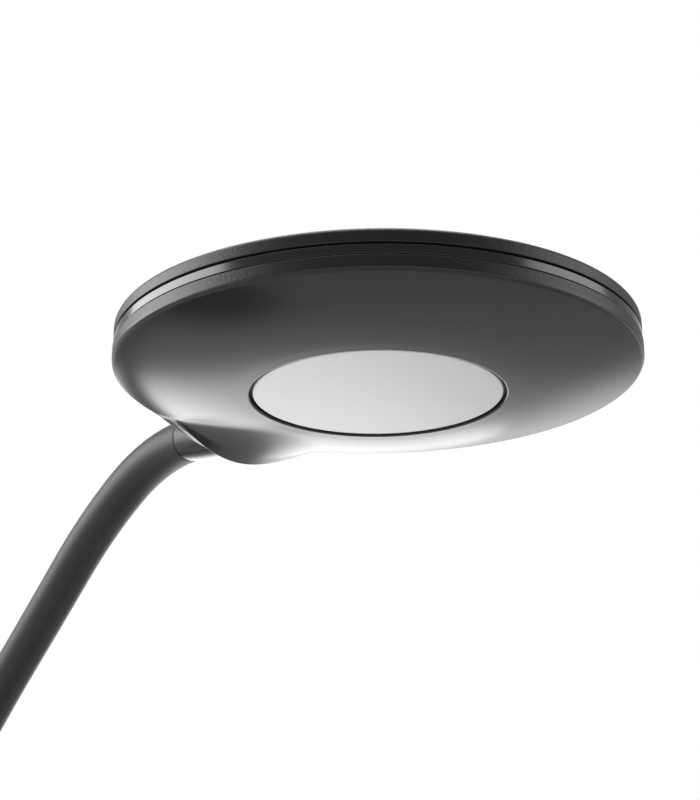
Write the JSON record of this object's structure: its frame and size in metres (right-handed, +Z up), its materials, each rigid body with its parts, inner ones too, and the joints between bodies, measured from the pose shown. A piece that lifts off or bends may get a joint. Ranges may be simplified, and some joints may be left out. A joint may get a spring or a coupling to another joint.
{
  "type": "piano lamp",
  "caption": "Lamp with a thin disc-shaped LED head on a bending gooseneck, and a weighted round base with a push button.",
  "frame": {"origin": "middle of the base's underside, on the table", "axes": "+Z up, +X from the base's middle towards the head, +Y to the left of +X"},
  "size_m": [0.4673, 0.18, 0.332],
  "materials": {
    "shell_plastic": "fine moulded texture",
    "band_plastic": "polished",
    "lens_plastic": "frosted",
    "sleeve_rubber": "satin",
    "hose_steel": "wound wire",
    "lead_rubber": "satin",
    "fitting_brass": "turned",
    "zinc_steel": "zinc plated",
    "sheet_aluminium": "rolled",
    "white_plastic": "smooth",
    "led_phosphor": "domed",
    "ring_plastic": "moulded",
    "board_laminate": "coated",
    "base_plastic": "fine moulded texture",
    "weight_iron": "cast and painted",
    "plate_steel": "painted",
    "pad_rubber": "matte"
  },
  "bodies": {
    "base": {"foot_pad": "pad_rubber", "base_plate": "plate_steel", "base_weight": "weight_iron", "base_cover": "base_plastic", "base_screws": "zinc_steel", "neck_socket": "base_plastic", "root_ferrule": "fitting_brass", "root_nut": "zinc_steel", "driver_board": "board_laminate", "driver_parts": "ring_plastic", "driver_screws": "zinc_steel", "switch_body": "ring_plastic", "cord_gland": "ring_plastic", "sleeve_1": "sleeve_rubber", "hose_1": "hose_steel", "lead_1": "lead_rubber"},
    "neck_2": {"sleeve_2": "sleeve_rubber", "hose_2": "hose_steel", "lead_2": "lead_rubber"},
    "neck_3": {"sleeve_3": "sleeve_rubber", "hose_3": "hose_steel", "lead_3": "lead_rubber"},
    "neck_4": {"sleeve_4": "sleeve_rubber", "hose_4": "hose_steel", "lead_4": "lead_rubber"},
    "neck_5": {"sleeve_5": "sleeve_rubber", "hose_5": "hose_steel", "lead_5": "lead_rubber"},
    "neck_6": {"sleeve_6": "sleeve_rubber", "hose_6": "hose_steel", "lead_6": "lead_rubber"},
    "neck_7": {"sleeve_7": "sleeve_rubber", "hose_7": "hose_steel", "lead_7": "lead_rubber"},
    "neck_8": {"sleeve_8": "sleeve_rubber", "hose_8": "hose_steel", "lead_8": "lead_rubber"},
    "head": {"sleeve_9": "sleeve_rubber", "hose_9": "hose_steel", "lead_9": "lead_rubber", "neck_ferrule": "fitting_brass", "ferrule_nut": "zinc_steel", "neck_collar": "shell_plastic", "lower_shell": "shell_plastic", "trim_band": "band_plastic", "top_cover": "shell_plastic", "diffuser": "lens_plastic", "diffuser_ring": "ring_plastic", "reflector": "white_plastic", "led_board": "white_plastic", "leds": "led_phosphor", "board_screws": "zinc_steel", "heat_spreader": "sheet_aluminium", "spreader_screws": "zinc_steel"},
    "button": {"push_button": "base_plastic", "switch_plunger": "ring_plastic"}
  },
  "joints": [
    {"name": "neck_pitch_1", "type": "hinge", "parent": "base", "child": "neck_2", "pos_m": [-0.0427, 0, 0.09192], "axis": [0, 1, 0], "range_deg": [-25, 7]},
    {"name": "neck_sway_2", "type": "hinge", "parent": "neck_2", "child": "neck_3", "pos_m": [-0.03394, 0, 0.13497], "axis": [0.9563, 0, -0.2924], "range_deg": [-20, 20]},
    {"name": "neck_pitch_3", "type": "hinge", "parent": "neck_3", "child": "neck_4", "pos_m": [-0.01643, 0, 0.17523], "axis": [0, 1, 0], "range_deg": [-25, 7]},
    {"name": "neck_sway_4", "type": "hinge", "parent": "neck_4", "child": "neck_5", "pos_m": [0.00938, 0, 0.21077], "axis": [0.7431, 0, -0.6691], "range_deg": [-20, 20]},
    {"name": "neck_pitch_5", "type": "hinge", "parent": "neck_5", "child": "neck_6", "pos_m": [0.04127, 0, 0.24102], "axis": [0, 1, 0], "range_deg": [-25, 7]},
    {"name": "neck_sway_6", "type": "hinge", "parent": "neck_6", "child": "neck_7", "pos_m": [0.07615, 0, 0.26784], "axis": [0.5892, 0, -0.808], "range_deg": [-20, 20]},
    {"name": "neck_pitch_7", "type": "hinge", "parent": "neck_7", "child": "neck_8", "pos_m": [0.11152, 0, 0.29401], "axis": [0, 1, 0], "range_deg": [-25, 7]},
    {"name": "neck_sway_8", "type": "hinge", "parent": "neck_8", "child": "head", "pos_m": [0.14928, 0, 0.31643], "axis": [0.4147, 0, -0.91], "range_deg": [-20, 20]},
    {"name": "button_press", "type": "slide", "parent": "base", "child": "button", "axis": [0, 0, -1], "range_m": [0, 0.002], "stiffness_N_per_m": 400, "springref_m": -0.002}
  ]
}
